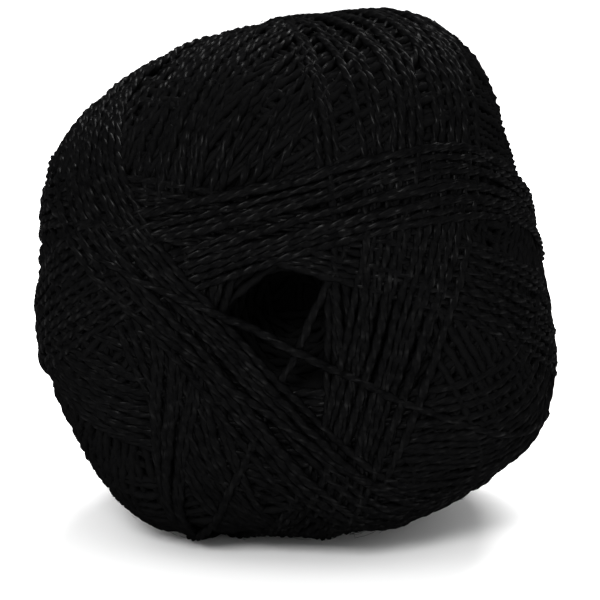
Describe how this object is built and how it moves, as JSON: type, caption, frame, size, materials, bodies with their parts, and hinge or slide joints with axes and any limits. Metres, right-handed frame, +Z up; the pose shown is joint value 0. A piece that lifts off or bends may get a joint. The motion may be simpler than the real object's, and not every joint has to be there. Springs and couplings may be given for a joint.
{
  "type": "alpaca yarn ball",
  "caption": "Machine-wound ball of fine plied yarn lying on its side, a rounded barrel with crossing bands of turns and a hollow at each end of its winding axis.",
  "frame": {"origin": "middle of the bounding box at the bottom, on the flat that the ball rests on", "axes": "+Y along the winding axis from the shown end to the far end, +X to the right seen from the shown end, +Z up"},
  "size_m": [0.0892, 0.0684, 0.0883],
  "materials": {
    "black_yarn": "matt"
  },
  "bodies": {
    "root": {"yarn_ball": "black_yarn"}
  },
  "joints": []
}
